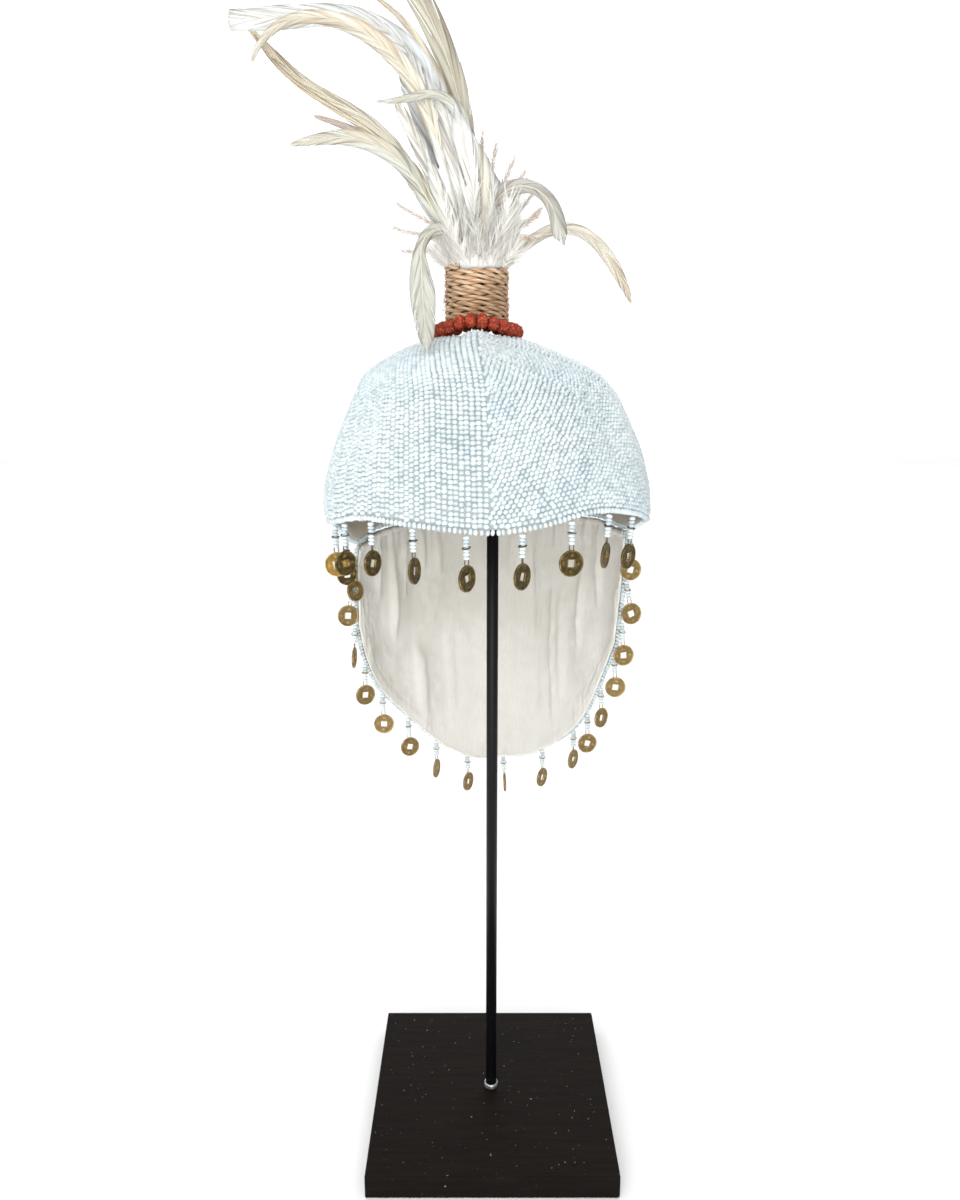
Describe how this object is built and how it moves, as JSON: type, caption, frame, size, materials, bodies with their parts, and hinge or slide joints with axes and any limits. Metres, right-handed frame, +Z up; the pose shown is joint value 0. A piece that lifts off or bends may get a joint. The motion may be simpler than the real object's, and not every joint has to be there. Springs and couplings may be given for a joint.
{
  "type": "beaded feathered hat on a display stand",
  "caption": "Rounded cloth hat sewn with white seed beads, with a hanging neck flap, coin drops along its edges and a rooster-feather plume, set on a square stand with a thin rod",
  "frame": {"origin": "middle of the underside of the stand's board", "axes": "+Z up, the hat's front faces -Y, +X is the viewer's right"},
  "size_m": [0.2333, 0.203, 0.7019],
  "materials": {
    "board": "painted black-brown, matte",
    "steel": "black, soft sheen",
    "weld": "bare bright metal",
    "beads": "opaque bluish-white glossy glass seed beads on cloth",
    "cotton": "plain woven cotton, cream",
    "jute": "two-ply jute cord, fuzzy",
    "seeds": "dry knobbly natural seeds, matte",
    "feather": "white and cream feathers with down",
    "coin": "aged brass, dull"
  },
  "bodies": {
    "root": {"stand_base": "board", "stand_rod": "steel", "stand_foot": "weld", "stand_head": "steel", "crown": "beads", "crown_lining": "cotton", "neck_flap": "beads", "flap_lining": "cotton", "rope_wrap": "jute", "bead_ring": "seeds", "plume": "feather", "rim_drop_01": "coin", "rim_drop_02": "coin", "rim_drop_03": "coin", "rim_drop_04": "coin", "rim_drop_05": "coin", "rim_drop_06": "coin", "rim_drop_07": "coin", "rim_drop_08": "coin", "rim_drop_09": "coin", "rim_drop_10": "coin", "flap_drop_01": "coin", "flap_drop_02": "coin", "flap_drop_03": "coin", "flap_drop_04": "coin", "flap_drop_05": "coin", "flap_drop_06": "coin", "flap_drop_07": "coin", "flap_drop_08": "coin", "flap_drop_09": "coin", "flap_drop_10": "coin", "flap_drop_11": "coin", "flap_drop_12": "coin", "flap_drop_13": "coin", "flap_drop_14": "coin", "flap_drop_15": "coin", "flap_drop_16": "coin", "flap_drop_17": "coin"}
  },
  "joints": []
}
